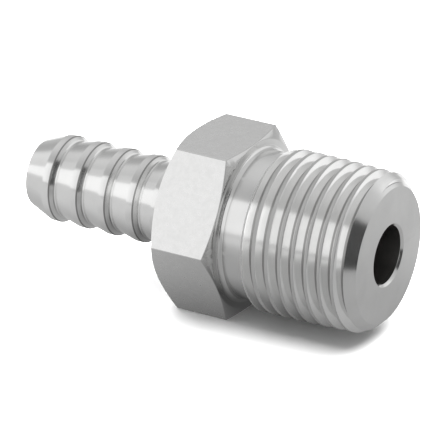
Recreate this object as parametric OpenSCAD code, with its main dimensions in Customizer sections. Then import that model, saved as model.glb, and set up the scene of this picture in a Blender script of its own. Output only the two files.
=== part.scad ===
// Hose connector turned from one piece of stainless hexagon bar.
// X runs along the bore towards the pipe thread, Z is square to a wrench flat.
// The origin is on the axis, in the face of the hexagon that looks at the thread.

/* [Bore] */
// Diameter of the straight bore
bore_d = 7.6; // [3:0.1:7.8]
// Width of the small chamfer at both mouths of the bore
bore_break = 0.3; // [0.1:0.05:0.35]

/* [Hose tail] */
// Number of barbs
barb_count = 4; // [2:1:8]
// Distance from one barb to the next
barb_pitch = 4.19; // [3.4:0.01:6]
// Diameter over the barbs
barb_d = 11.5; // [11.2:0.1:15]
// Diameter at the foot of each barb
barb_foot_d = 10.2; // [9.6:0.1:10.4]
// Length of the narrow land on top of each barb
barb_land = 0.4; // [0.2:0.05:0.8]
// Radius that rounds both edges of the land
barb_round = 0.25; // [0.1:0.05:0.35]
// Length of the steep back of each barb
barb_back_l = 0.15; // [0.05:0.05:0.4]
// Length of the groove behind each barb
barb_foot_l = 0.4; // [0.1:0.05:0.6]
// Length of the cone that leads the hose on
lead_l = 3.2; // [1.5:0.1:5]
// Diameter where that cone starts
lead_d = 8.9; // [8.7:0.1:9.5]
// Radius that rounds the tip
tip_round = 0.3; // [0.1:0.05:0.4]
// Length from the last barb to the hexagon
neck_l = 6.15; // [5:0.05:15]
// Length of the slope behind the last barb
neck_ramp_l = 2.2; // [1:0.1:3.5]
// Diameter of the plain neck beside the hexagon
neck_d = 11.2; // [10.8:0.1:14]

/* [Hexagon] */
// Width across the flats
hex_af = 22.225; // [22:0.025:27]
// Length of the hexagon from face to face
hex_l = 8.9; // [6:0.1:20]
// Angle of the chamfer at the thread side
front_chamfer_angle = 20; // [10:1:35]
// Angle of the chamfer at the hose side
back_chamfer_angle = 30; // [10:1:35]
// How far the chamfered faces lie inside the flats
face_inset = 0.1; // [0.05:0.05:0.3]

/* [Marking band] */
// Diameter of the plain band beside the hexagon
band_d = 19.3; // [18.6:0.1:19.8]
// Length of the band
band_l = 3.3; // [2:0.1:8]
// Radius of the fillet between the hexagon and the band
band_fillet = 0.75; // [0.2:0.05:0.8]

/* [Pipe thread] */
// Distance from one thread to the next
thread_pitch = 1.8143; // [1.8:0.0001:2.4]
// Diameter over the threads at the open end, before the chamfer
thread_end_d = 20.62; // [20.4:0.02:20.8]
// Growth of the diameter for each millimetre away from the open end
thread_taper = 0.0625; // [0:0.0025:0.0625]
// Diameter of the turned blank that the thread is cut into
blank_d = 21.2; // [21.1:0.1:21.8]
// Diameter where the chamfer at the start of the thread meets the band
thread_start_d = 20; // [19.8:0.1:20.4]
// Depth of the thread
thread_depth = 1.1; // [0.8:0.01:1.15]
// Width of the flat on each crest
crest_flat = 0.36; // [0.1:0.01:0.45]
// Angle of a thread flank from square to the axis
flank_angle = 30; // [25:1:30]
// Length from the hexagon to the open end
shank_l = 19; // [15:0.1:22]
// Diameter of the flat end face
end_face_d = 17.7; // [14:0.1:19]
// Where the first thread starts around the axis
thread_phase = 0.85; // [0:0.01:1.8]

/* [Hidden] */

steel = "silver";
round_sides = 96;
arc_steps = 6;
thread_steps = 60;
spare_turns = 3;
lead_in_turns = 2;
overlap = 0.01;
snap = 0.001;
margin = 1;
hex_sides = 6;
hex_turn = 30;

bore_r = bore_d / 2;
barb_r = barb_d / 2;
foot_r = barb_foot_d / 2;
lead_r = lead_d / 2;
neck_r = neck_d / 2;
hex_face_r = hex_af / 2 - face_inset;
hex_corner_r = hex_af / 2 / cos(hex_turn);
band_r = band_d / 2;
blank_r = blank_d / 2;
thread_start_r = thread_start_d / 2;
end_face_r = end_face_d / 2;

crest_l = barb_land + 2 * barb_round;
barb_end = -hex_l - neck_l;
first_barb = barb_end - crest_l - (barb_count - 1) * barb_pitch;
tip_x = first_barb - lead_l;
lead_angle = atan((barb_r - lead_r) / (lead_l - tip_round));
ramp_angle = atan((barb_r - foot_r) / (barb_pitch - crest_l - barb_back_l - barb_foot_l));

// Points of an arc in the plane of radius and length, by its centre and two angles
function arc(r, x, radius, from, to) = [for (i = [0:arc_steps])
    let (a = from + (to - from) * i / arc_steps) [r + radius * sin(a), x + radius * cos(a)]];

// Outline of one barb: rounded land, steep back and the groove behind it
function barb_outline(x, slope) = concat(
    arc(barb_r - barb_round, x + barb_round, barb_round, 90 + slope, 90),
    arc(barb_r - barb_round, x + barb_round + barb_land, barb_round, 90, 0),
    [[foot_r, x + crest_l + barb_back_l], [foot_r, x + crest_l + barb_back_l + barb_foot_l]]);

module hose_tail() {
    tip = arc(lead_r - tip_round, tip_x + tip_round, tip_round, 180, 90 + lead_angle);
    barbs = [for (i = [0:barb_count - 1])
        each barb_outline(first_barb + i * barb_pitch, i == 0 ? lead_angle : ramp_angle)];
    ramp_end = barb_end + barb_back_l + barb_foot_l + neck_ramp_l;
    rotate_extrude($fn = round_sides)
        polygon(concat([[0, tip_x]], tip, barbs,
            [[neck_r, ramp_end], [neck_r, -hex_l + overlap], [0, -hex_l + overlap]]));
}

// Body of revolution that chamfers both ends of the hexagon
module hexagon_envelope() {
    reach = hex_corner_r + margin;
    rotate_extrude($fn = round_sides)
        polygon([[0, -hex_l], [hex_face_r, -hex_l],
            [reach, -hex_l + (reach - hex_face_r) * tan(back_chamfer_angle)],
            [reach, -(reach - hex_face_r) * tan(front_chamfer_angle)],
            [hex_face_r, 0], [0, 0]]);
}

module hexagon() {
    intersection() {
        translate([0, 0, -hex_l]) rotate(hex_turn) cylinder(r = hex_corner_r, h = hex_l, $fn = hex_sides);
        hexagon_envelope();
    }
}

// Plain band with the concave fillet that joins it to the hexagon
module marking_band() {
    fillet = arc(band_r + band_fillet, band_fillet, band_fillet, 180, 270);
    rotate_extrude($fn = round_sides)
        polygon(concat([[0, -overlap], [band_r + band_fillet, -overlap]], fillet,
            [[band_r, band_l + overlap], [0, band_l + overlap]]));
}

// Radius over the threads, and at their roots, at a station along the axis
function cone_r(x) = (thread_end_d + (shank_l - x) * thread_taper) / 2;
function crest_r(x) = min(blank_r, cone_r(x));
function root_r(x) = cone_r(x) - thread_depth;

// One turn of the thread, as stations along the axis that are on the crest or at the root
flank_l = thread_depth * tan(flank_angle);
profile = [[-crest_flat / 2 - flank_l, false], [-crest_flat / 2, true],
    [crest_flat / 2, true], [crest_flat / 2 + flank_l, false]];
stations = len(profile);
turns = ceil((shank_l - band_l) / thread_pitch) + spare_turns;
last_step = turns * thread_steps;

function station_x(k, g) = band_l + thread_phase + profile[k][0]
    + thread_pitch * (g / thread_steps - lead_in_turns);
function station_r(k, x) = profile[k][1] ? crest_r(x) : root_r(x);
function on_circle(r, g, x) = let (a = 360 * g / thread_steps) [r * cos(a), r * sin(a), x];

// The thread is one helical ribbon. Stations beyond either end fall together on the ring there.
module threaded_shank() {
    rings = [for (x = [band_l, shank_l], j = [0:thread_steps - 1]) on_circle(root_r(x), j, x)];
    helix = [for (g = [0:last_step], k = [0:stations - 1]) let (x = station_x(k, g))
        on_circle(station_r(k, x), g, x)];
    function vertex(k, g) = let (x = station_x(k, g), j = g % thread_steps)
        x <= band_l + snap ? j
        : x >= shank_l - snap ? thread_steps + j
        : len(rings) + stations * g + k;
    function corner(k, g) = k == stations ? vertex(0, g + thread_steps) : vertex(k, g);
    quads = [for (g = [0:last_step - thread_steps - 1], k = [0:stations - 1])
        [corner(k, g), corner(k, g + 1), corner(k + 1, g + 1), corner(k + 1, g)]];
    tris = [for (q = quads) each [[q[0], q[2], q[1]], [q[0], q[3], q[2]]]];
    start_cap = [for (j = [0:thread_steps - 1]) j];
    end_cap = [for (j = [0:thread_steps - 1]) len(rings) - 1 - j];
    polyhedron(points = concat(rings, helix),
        faces = concat([for (t = tris) if (t[0] != t[1] && t[1] != t[2] && t[0] != t[2]) t],
            [start_cap, end_cap]));
}

// Chamfered outline that both ends of the thread are turned to
module thread_envelope() {
    reach = blank_r + margin;
    rotate_extrude($fn = round_sides)
        polygon([[0, 0], [thread_start_r, 0], [thread_start_r, band_l],
            [reach, band_l + reach - thread_start_r], [reach, shank_l - reach + end_face_r],
            [end_face_r, shank_l], [0, shank_l]]);
}

// Cone that breaks the edge at a mouth of the bore
module mouth_chamfer() {
    translate([0, 0, -bore_break])
        cylinder(r1 = bore_r, r2 = bore_r + 2 * bore_break, h = 2 * bore_break, $fn = round_sides);
}

module bore() {
    translate([0, 0, tip_x - margin])
        cylinder(r = bore_r, h = shank_l - tip_x + 2 * margin, $fn = round_sides);
    translate([0, 0, shank_l]) mouth_chamfer();
    translate([0, 0, tip_x]) mirror([0, 0, 1]) mouth_chamfer();
}

module connector_body() {
    color(steel) rotate([0, 90, 0]) difference() {
        union() {
            hose_tail();
            hexagon();
            marking_band();
            intersection() {
                threaded_shank();
                thread_envelope();
            }
        }
        bore();
    }
}

connector_body();
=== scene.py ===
import math
import bmesh
import bpy
from mathutils import Matrix, Vector


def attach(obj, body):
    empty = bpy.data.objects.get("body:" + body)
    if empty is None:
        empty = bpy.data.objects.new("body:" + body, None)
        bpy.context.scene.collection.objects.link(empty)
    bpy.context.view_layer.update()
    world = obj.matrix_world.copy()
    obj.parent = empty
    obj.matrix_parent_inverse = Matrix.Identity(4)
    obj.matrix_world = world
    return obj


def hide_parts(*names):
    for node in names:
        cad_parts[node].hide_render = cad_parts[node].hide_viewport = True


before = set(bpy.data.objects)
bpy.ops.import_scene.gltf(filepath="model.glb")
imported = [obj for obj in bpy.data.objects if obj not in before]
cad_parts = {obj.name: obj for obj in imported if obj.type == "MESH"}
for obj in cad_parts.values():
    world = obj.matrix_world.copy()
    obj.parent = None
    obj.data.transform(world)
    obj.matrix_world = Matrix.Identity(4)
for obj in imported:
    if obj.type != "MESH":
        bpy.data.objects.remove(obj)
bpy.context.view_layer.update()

# The hose tail is the end that soft hose is pushed on to. It is turned with four barbs, each a
# slope that rises to a narrow rounded land and drops off steeply, so the hose can't slide back.
# Behind the last barb one more slope ends in a plain neck, which meets the hexagon.
BORE_R = 3.8
BORE_BREAK = 0.3
MOUTH_ROUND = 0.05
TIP_R = 4.43
TIP_ROUND = 0.3
LEAD_L = 3.2
BARB_COUNT = 4
BARB_PITCH = 4.19
BARB_R = 5.75
BARB_TOP_L = 0.9
RAMP_ROUND = 0.3
LAND_START = 0.1
LAND_END = 1.05
LAND_ROUND = 0.12
EDGE_L = 0.12
BACK_SLOPE_L = 0.45
BACK_ROUND = 0.05
BACK_L = 0.55
FOOT_R = 5.1
GROOVE_L = 0.15
GROOVE_ROUND = 0.1
RAMP_FOOT_ROUND = 0.2
NECK_L = 6.15
NECK_R = 5.6
NECK_PLAIN_L = 3.4
NECK_ROUND = 0.5
NECK_FLARE = 0.2
HEX_L = 8.9
first_barb = -HEX_L - NECK_L - BARB_TOP_L - (BARB_COUNT - 1) * BARB_PITCH
tip_x = first_barb - LEAD_L

# The connector's sizes are in millimetres, and MM makes metres of them.
MM = 0.001

# The steel is softly patchy: a little darker and smoother here, a little lighter and duller there.
PATCH_DETAIL = 4
PATCH_TINT = 0.93
PATCH_STARTS = 0.3
PATCH_ENDS = 0.7
SMOOTHER = 0.03
DULLER = 0.04
MARK_DEPTH = 0.02
steels = []


def reckon(tree, operation, *values):
    """One sum, on plain numbers or on what other nodes give."""
    node = tree.nodes.new("ShaderNodeMath")
    node.operation = operation
    for socket, value in zip(node.inputs, values):
        if isinstance(value, (int, float)):
            socket.default_value = value
        else:
            tree.links.new(value, socket)
    return node.outputs["Value"]


def noise(tree, vector, scale, detail):
    """Irregular marks or patches of this scale."""
    node = tree.nodes.new("ShaderNodeTexNoise")
    node.inputs["Scale"].default_value = scale
    node.inputs["Detail"].default_value = detail
    tree.links.new(vector, node.inputs["Vector"])
    return node.outputs["Fac"]


def steel(name, roughness, tint, turned=True, grain=5200, detail=3, relief=0.12, clouds=260):
    """Bright stainless steel with the marks of its last tool. Gives its place among the steels."""
    made = bpy.data.materials.new(name)
    made.use_nodes = True
    tree = made.node_tree
    shader = tree.nodes["Principled BSDF"]
    shader.inputs["Metallic"].default_value = 1
    place = tree.nodes.new("ShaderNodeTexCoord").outputs["Object"]

    # Turning marks run round the axis, so they change only along it and outwards from it.
    marks = place
    if turned:
        split = tree.nodes.new("ShaderNodeSeparateXYZ")
        tree.links.new(place, split.inputs["Vector"])
        across = reckon(tree, "MULTIPLY", split.outputs["Y"], split.outputs["Y"])
        squared = reckon(tree, "MULTIPLY_ADD", split.outputs["Z"], split.outputs["Z"], across)
        along = tree.nodes.new("ShaderNodeCombineXYZ")
        tree.links.new(split.outputs["X"], along.inputs["X"])
        tree.links.new(reckon(tree, "SQRT", squared), along.inputs["Y"])
        marks = along.outputs["Vector"]
    bump = tree.nodes.new("ShaderNodeBump")
    bump.inputs["Strength"].default_value = relief
    bump.inputs["Distance"].default_value = MARK_DEPTH * MM
    tree.links.new(noise(tree, marks, grain, detail), bump.inputs["Height"])
    tree.links.new(bump.outputs["Normal"], shader.inputs["Normal"])

    cloud = noise(tree, place, clouds, PATCH_DETAIL)
    colour = tree.nodes.new("ShaderNodeValToRGB")
    dark_end, light_end = colour.color_ramp.elements
    dark_end.position = PATCH_STARTS
    dark_end.color = (*[channel * PATCH_TINT for channel in tint], 1)
    light_end.position = PATCH_ENDS
    light_end.color = (*tint, 1)
    tree.links.new(cloud, colour.inputs["Fac"])
    tree.links.new(colour.outputs["Color"], shader.inputs["Base Color"])
    rough = tree.nodes.new("ShaderNodeMapRange")
    rough.inputs["To Min"].default_value = roughness - SMOOTHER
    rough.inputs["To Max"].default_value = roughness + DULLER
    tree.links.new(cloud, rough.inputs["Value"])
    tree.links.new(rough.outputs["Result"], shader.inputs["Roughness"])
    steels.append(made)
    return len(steels) - 1


TURNED = steel("turned_steel", 0.17, (0.79, 0.79, 0.785))
# The rounding at the edge of each barb's land gets this dark steel, a line of painted shade where the
# barb drops off.
PAINTED_EDGE_SHADE = steel("edge_steel_painted_shade", 0.3, (0.36, 0.36, 0.355))
SMALLEST_TURN = math.radians(1)
MOST_OF_A_SIDE = 0.48


def rounded(outline, largest_turn=12):
    """Points (radius, place, finish) of an outline of corners (radius, place, rounding, finish)."""
    points = [(outline[0][0], outline[0][1], outline[0][3])]
    for before, corner, after in zip(outline, outline[1:], outline[2:]):
        rounding, finish = corner[2:]
        here = Vector(corner[:2])
        back = Vector(before[:2]) - here
        ahead = Vector(after[:2]) - here
        turn = math.pi - back.angle(ahead)
        if rounding <= 0 or turn < SMALLEST_TURN:
            points.append((here.x, here.y, finish))
            continue
        longest_setback = min(back.length, ahead.length) * MOST_OF_A_SIDE
        setback = min(rounding * math.tan(turn / 2), longest_setback)
        radius = setback / math.tan(turn / 2)
        middle = (back.normalized() + ahead.normalized()).normalized()
        centre = here + middle * (radius / math.cos(turn / 2))
        first = here + back.normalized() * setback - centre
        last = here + ahead.normalized() * setback - centre
        steps = max(1, math.ceil(math.degrees(turn) / largest_turn))
        sweep = math.atan2(first.x * last.y - first.y * last.x, first.dot(last))
        for step in range(steps + 1):
            swung = Matrix.Rotation(sweep * step / steps, 2) @ first
            points.append((centre.x + swung.x, centre.y + swung.y, finish))
    points.append((outline[-1][0], outline[-1][1], outline[-1][3]))
    return points


tail_outline = [
    (BORE_R, tip_x + BORE_BREAK, 0, TURNED),
    (BORE_R + BORE_BREAK, tip_x, MOUTH_ROUND, TURNED),
    (TIP_R, tip_x, TIP_ROUND, TURNED),
]
for number in range(BARB_COUNT):
    start = first_barb + number * BARB_PITCH
    edge = start + LAND_END
    tail_outline += [
        (BARB_R, start + LAND_START, RAMP_ROUND, TURNED),
        (BARB_R, edge, LAND_ROUND, PAINTED_EDGE_SHADE),
        (BARB_R - EDGE_L, edge + EDGE_L, 0, TURNED),
        (BARB_R - BACK_SLOPE_L, edge + BACK_SLOPE_L, BACK_ROUND, TURNED),
        (FOOT_R, edge + BACK_L, GROOVE_ROUND, TURNED),
        (FOOT_R, edge + BACK_L + GROOVE_L, RAMP_FOOT_ROUND, TURNED),
    ]
tail_outline += [
    (NECK_R, -HEX_L - NECK_PLAIN_L, NECK_ROUND, TURNED),
    (NECK_R, -HEX_L, 0, TURNED),
]
tail = rounded(tail_outline)
tail[-1] = (NECK_R + NECK_FLARE, -HEX_L, TURNED)

# The hexagon is what is left of the bar that the connector is turned from. Its six flats keep the
# bar's drawn skin, its corners are just broken, and both ends are chamfered on the lathe, at 20
# degrees on the thread side and 30 on the hose side, which cuts the curved edges into the flats.
HEX_SIDES = 6
HEX_AF = 22.225
FACE_INSET = 0.1
FACE_ROUND = 0.2
FRONT_CHAMFER = math.radians(20)
BACK_CHAMFER = math.radians(30)
CORNER_ROUND = 0.22
EDGE_ROUND = 0.1
FRONT_RING = 0.1
BACK_RING = 1
COLUMN_STEP = 2
CORNER_STEPS = 4
side_turn = 360 / HEX_SIDES
half_turn = side_turn / 2
half_side = math.radians(half_turn)
face_r = HEX_AF / 2 - FACE_INSET
corner_centre = (HEX_AF / 2 - CORNER_ROUND) / math.cos(half_side)
rounding_ends = corner_centre + CORNER_ROUND * math.cos(half_side)
corner_spread = math.degrees(math.atan(CORNER_ROUND * math.sin(half_side) / rounding_ends))
DRAWN = steel("drawn_steel", 0.26, (0.8, 0.8, 0.795),
              turned=False, grain=4200, detail=1, relief=0.05, clouds=1400)
# The chamfer and face on the thread side are faced smoother, and their darker tint is painted shade.
FACED_PAINTED_SHADE = steel("faced_steel_painted_shade", 0.14, (0.65, 0.65, 0.645))

# The skin's columns stand two degrees apart, and closer where they go round a broken corner. A ring
# of points just inside the edge of each end face keeps that face looking flat.
angles = list(range(0, 360, COLUMN_STEP))
for side in range(HEX_SIDES):
    corner_angle = side * side_turn + half_turn
    for step in range(1, CORNER_STEPS + 1):
        spread = step / CORNER_STEPS * corner_spread
        angles += [corner_angle - spread, corner_angle + spread]
angles.sort()


def hexagon_reach(degrees):
    """How far the rounded hexagon reaches from its axis in this direction."""
    from_flat = abs((degrees + half_turn) % side_turn - half_turn)
    from_corner = half_turn - from_flat
    if from_corner > corner_spread:
        return HEX_AF / 2 / math.cos(math.radians(from_flat))
    across = corner_centre * math.sin(math.radians(from_corner))
    outwards = corner_centre * math.cos(math.radians(from_corner))
    return outwards + math.sqrt(CORNER_ROUND ** 2 - across ** 2)


def longest_as(finish, points):
    """The outline with another finish on its longest straight stretch."""
    longest = max(range(len(points) - 1), key=lambda k: math.dist(points[k][:2], points[k + 1][:2]))
    points[longest] = (*points[longest][:2], finish)
    return points


def hexagon_outline(degrees):
    """From the face on the hose side over a flat or a corner to the face on the thread side."""
    reach = hexagon_reach(degrees)
    chamfered = reach - face_r
    return longest_as(DRAWN, rounded([
        (face_r - BACK_RING, -HEX_L, 0, TURNED),
        (face_r, -HEX_L, FACE_ROUND, TURNED),
        (reach, -HEX_L + chamfered * math.tan(BACK_CHAMFER), EDGE_ROUND, TURNED),
        (reach, -chamfered * math.tan(FRONT_CHAMFER), EDGE_ROUND, FACED_PAINTED_SHADE),
        (face_r, 0, FACE_ROUND, FACED_PAINTED_SHADE),
        (face_r - FRONT_RING, 0, 0, FACED_PAINTED_SHADE),
    ], largest_turn=18))


# The plain band beside the hexagon gives the threading tool room to run out. It is turned a little
# smaller than the thread, and a small fillet joins it to the face of the hexagon.
BAND_R = 9.65
BAND_L = 3.3
BAND_FILLET = 0.75
band = rounded([
    (face_r - FRONT_RING, 0, 0, FACED_PAINTED_SHADE),
    (BAND_R, 0, BAND_FILLET, TURNED),
    (BAND_R, BAND_L, 0, TURNED),
])[1:]

# The taper pipe thread is cut on a lathe into a turned blank, 14 threads to the inch on a cone of
# 1 in 16. It has narrow crests, flanks at 30 degrees and rounded roots, it starts at the band with
# a small chamfer, and the open end is chamfered so that the first thread enters its port.
INCH = 25.4
THREADS_AN_INCH = 14
THREAD_END_R = 10.31
TAPER = 1 / 16
BLANK_R = 10.6
DEPTH = 1.1
CREST_FLAT = 0.36
FLANK_ANGLE = math.radians(30)
CREST_ROUND = 0.16
ROOT_ROUND = 0.12
SHANK_L = 19
END_FACE_R = 8.85
START_R = 10
PHASE = 0.85
SPARE_TURNS = 5
BLANK_SKIN = 0.03
RUN_OUT_L = 0.15
CREST_DROP = 0.05
ROOT_RISE = 0.09
pitch = INCH / THREADS_AN_INCH
turns = math.ceil((SHANK_L - BAND_L) / pitch)
half_crest = CREST_FLAT / 2
half_gap = half_crest + DEPTH * math.tan(FLANK_ANGLE)
CREST = steel("crest_steel", 0.8, (0.69, 0.69, 0.685))
# The roots are painted darker than the rest of the thread, as shade in the grooves.
PAINTED_ROOT_SHADE = steel("root_steel_painted_shade", 0.3, (0.4, 0.4, 0.395))
# The flanks are painted lighter than the turned steel, as a highlight.
FLANK_PAINTED_HIGHLIGHT = steel("flank_steel_painted_highlight", 0.14, (0.93, 0.93, 0.925))
# The chamfer where the thread starts is painted lighter, as a highlight.
START_PAINTED_HIGHLIGHT = steel("start_steel_painted_highlight", 0.6, (0.95, 0.95, 0.945))

one_thread = rounded([
    (-DEPTH, -pitch / 2, 0, TURNED),
    (-DEPTH, -half_gap, ROOT_ROUND, TURNED),
    (0, -half_crest, CREST_ROUND, TURNED),
    (0, half_crest, CREST_ROUND, TURNED),
    (-DEPTH, half_gap, ROOT_ROUND, TURNED),
    (-DEPTH, pitch / 2, 0, TURNED),
], largest_turn=16)[:-1]


def cone_r(x):
    """Radius over the crests."""
    return THREAD_END_R + (SHANK_L - x) * TAPER / 2


def blank_r(x):
    """The turned blank: a chamfer at the band, a cylinder, and a chamfer at the open end."""
    return min(BLANK_R, START_R + (x - BAND_L), END_FACE_R + (SHANK_L - x))


def thread_column(degrees):
    """The thread along one line of the shank, with spare turns past both ends."""
    points = []
    for turn in range(-SPARE_TURNS, turns + 1):
        for height, place, _ in one_thread:
            x = BAND_L + PHASE + pitch * (degrees / 360 + turn) + place
            points.append((cone_r(x) + height, x))
    return points


def trimmed(points):
    """Points past either end fall together on it, and points past the blank are moved on to it."""
    for (low_r, low_x), (high_r, high_x) in zip(points, points[1:]):
        if low_x <= BAND_L < high_x:
            share = (BAND_L - low_x) / (high_x - low_x)
            first_r = min(START_R, low_r + share * (high_r - low_r))
    result = []
    for index, (r, x) in enumerate(points):
        if x <= BAND_L:
            result.append((first_r, BAND_L))
            continue
        if x >= SHANK_L:
            result.append((END_FACE_R, SHANK_L))
            continue
        over = r - blank_r(x)
        landing = (min(r, blank_r(x)), x)
        for other_r, other_x in (points[index - 1], points[index + 1]):
            other_over = other_r - blank_r(other_x)
            if over > 0 > other_over and BAND_L < other_x < SHANK_L:
                share = other_over / (other_over - over)
                x_there = other_x + share * (x - other_x)
                landing = (min(other_r + share * (r - other_r), blank_r(x_there)), x_there)
        result.append(landing)
    return result


def thread_finish(r, x):
    """Which steel this place gets: the blank's own skin or a crest, the start chamfer or a flank with
    painted highlight, or a root with painted shade.
    """
    on_blank = r > blank_r(x) - BLANK_SKIN
    below_crest = cone_r(x) - r
    if on_blank and x < BAND_L + BLANK_R - START_R:
        return START_PAINTED_HIGHLIGHT
    if r > BLANK_R - BLANK_SKIN:
        return CREST
    if on_blank or x <= BAND_L + RUN_OUT_L:
        return TURNED
    if below_crest < CREST_DROP:
        return CREST
    if below_crest > DEPTH - ROOT_RISE:
        return PAINTED_ROOT_SHADE
    return FLANK_PAINTED_HIGHLIGHT


# The open end is faced flat, and the drilled bore runs straight through the whole connector. The
# edges of both its mouths are broken with a small chamfer.
BREAK_ROUND = 0.04
END_RING = 0.05
BORE_RING = 0.1
DRILLED = steel("drilled_steel", 0.35, (0.45, 0.44, 0.43))
open_end = longest_as(DRILLED, rounded([
    (END_FACE_R - END_RING, SHANK_L, 0, TURNED),
    (BORE_R + BORE_BREAK, SHANK_L, MOUTH_ROUND, TURNED),
    (BORE_R, SHANK_L - BORE_BREAK, BREAK_ROUND, TURNED),
    (BORE_R, tip_x + BORE_BREAK + BORE_RING, 0, DRILLED),
]))

# The connector is turned from one piece of steel, so it is one skin. Every column holds the whole
# outline at one angle, and neighbouring columns are joined. Where the last column meets the first,
# the thread is one turn further on.
TOUCHING = 0.0004 * MM
VANISHING = 0.0002 * MM
SHARP_EDGE = math.radians(21)
form = bmesh.new()
grid = []
finishes = []
for degrees in angles:
    hexagon = hexagon_outline(degrees)
    thread = [(r, x, TURNED) for r, x in trimmed(thread_column(degrees))]
    outline = tail + hexagon + band + thread + open_end
    turn = math.radians(degrees)
    grid.append([
        form.verts.new((x * MM, r * math.sin(turn) * MM, -r * math.cos(turn) * MM))
        for r, x, finish in outline
    ])
    finishes.append([finish for r, x, finish in outline])
columns = len(grid)
rows = len(grid[0])
thread_from = len(tail + hexagon + band)
thread_to = thread_from + len(thread)


def vertex(column, row):
    """The grid closes in both directions, with the thread one turn further on after the last column."""
    row = row % rows
    if column == columns and thread_from <= row < thread_to:
        row = min(row + len(one_thread), thread_to - 1)
    return grid[column % columns][row]


for j in range(columns):
    for k in range(rows):
        corners = []
        for corner in (vertex(j, k), vertex(j, k + 1), vertex(j + 1, k + 1), vertex(j + 1, k)):
            if corner not in corners:
                corners.append(corner)
        if len(corners) < 3:
            continue
        face = form.faces.new(corners)
        face.smooth = True
        face.material_index = finishes[j][k]
        if thread_from <= k < thread_to - 1:
            middle = sum((corner.co for corner in corners), Vector()) / len(corners) / MM
            face.material_index = thread_finish(math.hypot(middle.y, middle.z), middle.x)

bmesh.ops.remove_doubles(form, verts=form.verts, dist=TOUCHING)
bmesh.ops.dissolve_degenerate(form, edges=form.edges, dist=VANISHING)
bmesh.ops.recalc_face_normals(form, faces=form.faces)
mesh = bpy.data.meshes.new("connector_steel")
form.to_mesh(mesh)
form.free()
mesh.set_sharp_from_angle(angle=SHARP_EDGE)
for finish in steels:
    mesh.materials.append(finish)
connector = bpy.data.objects.new("connector_steel", mesh)
bpy.context.scene.collection.objects.link(connector)
weighted = connector.modifiers.new("even_shading", "WEIGHTED_NORMAL")
weighted.mode = "FACE_AREA"
weighted.keep_sharp = True
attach(connector, "root")
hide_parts("connector_body")

# The floor is a plain pale sheet with no gloss, level with the flat that the connector lies on. The
# steel doesn't mirror it, because a glowing sheet below, a painted reflection of the floor, stands in
# for it there.
FLOOR_REACH = 3000
PALE = (0.85, 0.85, 0.85, 1)


def level_sheet(name, right, height):
    """A level sheet from the far left to this place on the right, at this height."""
    plan = [(-FLOOR_REACH, -FLOOR_REACH), (right, -FLOOR_REACH),
            (right, FLOOR_REACH), (-FLOOR_REACH, FLOOR_REACH)]
    corners = [(x * MM, y * MM, 0) for x, y in plan]
    sheet_mesh = bpy.data.meshes.new(name)
    sheet_mesh.from_pydata(corners, [], [(0, 1, 2, 3)])
    sheet = bpy.data.objects.new(name, sheet_mesh)
    sheet.location.z = height * MM
    bpy.context.scene.collection.objects.link(sheet)
    return sheet


floor = level_sheet("floor", FLOOR_REACH, -HEX_AF / 2)
pale = bpy.data.materials.new("pale_floor")
pale.use_nodes = True
matt = pale.node_tree.nodes["Principled BSDF"]
matt.inputs["Base Color"].default_value = PALE
matt.inputs["Roughness"].default_value = 0.9
matt.inputs["Specular IOR Level"].default_value = 0
floor.data.materials.append(pale)
floor.visible_glossy = False

# A glowing sheet that only the steel sees: a painted reflection of the floor. The background of the
# photograph is burnt out to white, but the steel still shows a grey table that is lighter to the left,
# white behind, and dark under the part, where a shadow is painted into the glow.
MIRRORED_RIGHT = 70
UNDER_FLOOR = 0.01
painted_floor_reflection = level_sheet("painted_floor_reflection", MIRRORED_RIGHT, -HEX_AF / 2 - UNDER_FLOOR)
for other_rays in ("visible_camera", "visible_diffuse", "visible_shadow", "visible_transmission"):
    setattr(painted_floor_reflection, other_rays, False)
glow = bpy.data.materials.new("painted_floor_reflection")
glow.use_nodes = True
table = glow.node_tree
table.nodes.clear()
shown = table.nodes.new("ShaderNodeOutputMaterial")
shine = table.nodes.new("ShaderNodeEmission")
table.links.new(shine.outputs["Emission"], shown.inputs["Surface"])
spot = table.nodes.new("ShaderNodeTexCoord")
spot_parts = table.nodes.new("ShaderNodeSeparateXYZ")
table.links.new(spot.outputs["Object"], spot_parts.inputs["Vector"])
along = spot_parts.outputs["X"]
away = spot_parts.outputs["Y"]


def fade(tree, source, between, levels):
    """A soft change from one level to the other while the source goes from one value to the other."""
    node = tree.nodes.new("ShaderNodeMapRange")
    node.interpolation_type = "SMOOTHSTEP"
    for name, value in zip(("From Min", "From Max", "To Min", "To Max"), (*between, *levels)):
        node.inputs[name].default_value = value
    tree.links.new(source, node.inputs["Value"])
    return node.outputs["Result"]


# The open table gets darker from left to right, and a little lighter again past the open end.
left_part = fade(table, along, between=(-45 * MM, 4 * MM), levels=(0.76, 0.4))
right_part = fade(table, along, between=(16 * MM, 24 * MM), levels=(0, 0.07))
open_table = reckon(table, "ADD", left_part, right_part)

# The painted shade under the connector is deepest at the hexagon's front face and fades towards both
# ends.
off_axis = reckon(table, "ABSOLUTE", away)
shade = fade(table, off_axis, between=(2 * MM, 14 * MM), levels=(0.8, 0))
hose_side = fade(table, along, between=(-30 * MM, 0), levels=(0.3, 1))
thread_side = fade(table, along, between=(10 * MM, 20 * MM), levels=(1, 0))
shaded = reckon(table, "MULTIPLY", reckon(table, "MULTIPLY", shade, hose_side), thread_side)
lit = reckon(table, "SUBTRACT", 1, shaded)
front = reckon(table, "MULTIPLY", open_table, lit)

# Behind the connector the table is white, and less so towards the right.
WHITE = 1.12
behind = fade(table, away, between=(8 * MM, 38 * MM), levels=(0, 1))
beside = fade(table, along, between=(12 * MM, 34 * MM), levels=(1, 0.2))
whiteness = reckon(table, "MULTIPLY", behind, beside)
to_white = reckon(table, "SUBTRACT", WHITE, front)
level = reckon(table, "MULTIPLY_ADD", whiteness, to_white, front)
table.links.new(level, shine.inputs["Strength"])
painted_floor_reflection.data.materials.append(glow)

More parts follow.
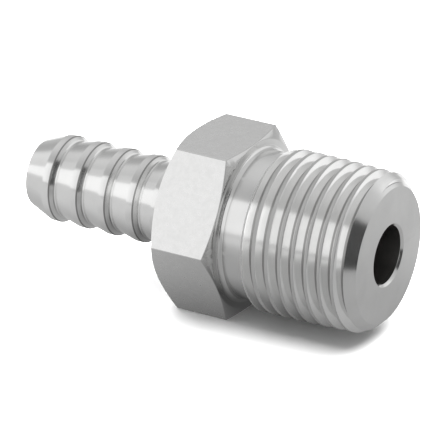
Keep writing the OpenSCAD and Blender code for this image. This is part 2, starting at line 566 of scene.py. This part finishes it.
# The studio's lights are a long softbox in front, which is seen in the steel alone, and a broad lamp
# above, which lights the floor. Their places are in metres. The softbox's edges are given by how far
# they lie to the left, right, below and above its facing line for each metre of distance.
BOX_AWAY = 0.6
BOX_LEFT = -5
BOX_RIGHT = 1.62
BOX_LOW = -0.43
BOX_HIGH = 0.52
BOX_RADIANCE = 0.45
LAMP_SIZE = 2.5
LAMP_POWER = 118
LAMP_PLACE = (-0.22, 0.38, 1.1)
facing = Vector((0, -0.8788, 0.4773))
over = Vector((0, 0.4773, 0.8788))


def lamp(name, width, height, power, place, towards):
    """A flat lamp that faces a place, with its width along the connector."""
    light = bpy.data.lights.new(name, "AREA")
    light.shape = "RECTANGLE"
    light.size = width
    light.size_y = height
    light.energy = power
    made = bpy.data.objects.new(name, light)
    made.location = place
    out = (Vector(place) - Vector(towards)).normalized()
    side = Vector((1, 0, 0))
    top = out.cross(side).normalized()
    side = top.cross(out).normalized()
    made.rotation_euler = Matrix((side, top, out)).transposed().to_euler()
    bpy.context.scene.collection.objects.link(made)
    return made


box_left = BOX_LEFT * BOX_AWAY
box_right = BOX_RIGHT * BOX_AWAY
box_low = BOX_LOW * BOX_AWAY
box_high = BOX_HIGH * BOX_AWAY
box_width = box_right - box_left
box_height = box_high - box_low
box_shift = Vector(((box_left + box_right) / 2, 0, 0))
box_place = facing * BOX_AWAY + over * (box_low + box_high) / 2 + box_shift
box_power = BOX_RADIANCE * math.pi * box_width * box_height
softbox = lamp("softbox", box_width, box_height, box_power, box_place, box_place - facing)
softbox.visible_diffuse = False
floor_lamp = lamp("floor_lamp", LAMP_SIZE, LAMP_SIZE, LAMP_POWER, LAMP_PLACE, (0, 0, 0))
floor_lamp.visible_glossy = False

# The surroundings are soft grey walls. They are lighter behind the connector and on the left, nearly
# white on the horizon to the right behind it, and dim in the corner to the left behind it. On the
# softbox's side they are brighter on the left and have a dark patch past its right end.
HORIZON = (0.61, 0.78, 0.14)
DIM_CORNER = (-0.80, 0.52, 0.29)
world = bpy.data.worlds.new("surroundings")
bpy.context.scene.world = world
world.use_nodes = True
walls = world.node_tree
backdrop = walls.nodes["Background"]
ways = walls.nodes.new("ShaderNodeTexCoord")


def part_of(way):
    """How much of each direction points this way."""
    node = walls.nodes.new("ShaderNodeVectorMath")
    node.operation = "DOT_PRODUCT"
    node.inputs[1].default_value = Vector(way).normalized()
    walls.links.new(ways.outputs["Generated"], node.inputs[0])
    return node.outputs["Value"]


around = reckon(walls, "ARCTAN2", part_of((1, 0, 0)), part_of(facing))
height = part_of(over)


def rise(source, place, soft):
    """From 0 to 1 across this place."""
    return fade(walls, source, between=(place - soft, place + soft), levels=(0, 1))


def drop(source, place, soft):
    """From 1 to 0 across this place."""
    return fade(walls, source, between=(place - soft, place + soft), levels=(1, 0))


def patch(left, right, low, high, soft):
    """A soft-edged patch beside the connector, by degrees around it and by height."""
    blur = math.radians(soft)
    left_edge = rise(around, math.radians(left), blur)
    right_edge = drop(around, math.radians(right), blur)
    sides = reckon(walls, "MULTIPLY", left_edge, right_edge)
    ends = reckon(walls, "MULTIPLY", rise(height, low, blur), drop(height, high, blur))
    return reckon(walls, "MULTIPLY", sides, ends)


rear = part_of((0, 1, 0))
to_the_left = part_of((-1, 0, 0))
to_the_right = part_of((1, 0, 0))
grey = fade(walls, rear, between=(-0.45, 0.3), levels=(0.50, 0.70))
lighter_left = fade(walls, to_the_left, between=(0.2, 0.8), levels=(0, 0.08))
dimmer_rear = fade(walls, rear, between=(0.55, 0.85), levels=(0, 0.13))
dimmer_right = fade(walls, to_the_right, between=(0.5, 0.9), levels=(0, 0.1))
white_horizon = fade(walls, part_of(HORIZON), between=(0.86, 0.97), levels=(0, 0.4))
dim_corner = fade(walls, part_of(DIM_CORNER), between=(0.93, 0.98), levels=(1, 0.6))
near_left = patch(left=-60, right=-28, low=-0.42, high=0.42, soft=2)
far_left = patch(left=-128, right=-60, low=-0.34, high=0.50, soft=2)
right_patch = patch(left=59.5, right=84, low=-0.39, high=0.44, soft=1.5)
bright_left = fade(walls, reckon(walls, "ADD", near_left, far_left), between=(0, 1), levels=(0, 0.18))
dark_right = fade(walls, right_patch, between=(0, 1), levels=(1, 0.1))

surround = reckon(walls, "ADD", grey, lighter_left)
surround = reckon(walls, "SUBTRACT", surround, dimmer_rear)
surround = reckon(walls, "SUBTRACT", surround, dimmer_right)
surround = reckon(walls, "ADD", surround, white_horizon)
surround = reckon(walls, "MULTIPLY", surround, dim_corner)
surround = reckon(walls, "MULTIPLY", surround, dark_right)
surround = reckon(walls, "ADD", surround, bright_left)
walls.links.new(surround, backdrop.inputs["Strength"])
backdrop.inputs["Color"].default_value = (1, 1, 1, 1)

# The camera looks down on the connector from its thread end, as in the photograph. Its place and
# its lens come from a fit to the connector's outline there, and its distances are in millimetres.
AZIMUTH = math.radians(29.544)
ELEVATION = math.radians(25.288)
DISTANCE = 483.3
SIDEWAYS = 3.479
UPWARDS = 0.155
FIT_SHIFT = 0.68
FOCUS_PIXELS = 3805.0
FRAME_PIXELS = 447
SENSOR = 36
NEAREST = 0.01
FARTHEST = 20
back = Vector((
    math.sin(AZIMUTH) * math.cos(ELEVATION),
    -math.cos(AZIMUTH) * math.cos(ELEVATION),
    math.sin(ELEVATION),
))
right = Vector((math.cos(AZIMUTH), math.sin(AZIMUTH), 0))
up = back.cross(right)
view = bpy.data.cameras.new("photo_camera")
view.sensor_width = SENSOR
view.lens = SENSOR * FOCUS_PIXELS / FRAME_PIXELS
view.clip_start = NEAREST
view.clip_end = FARTHEST
camera = bpy.data.objects.new("photo_camera", view)
centre = back * DISTANCE - right * SIDEWAYS - up * UPWARDS - Vector((FIT_SHIFT, 0, 0))
camera.location = centre * MM
camera.rotation_euler = Matrix((right, up, back)).transposed().to_euler()
bpy.context.scene.collection.objects.link(camera)
bpy.context.scene.camera = camera
bpy.context.scene.view_settings.view_transform = "Standard"
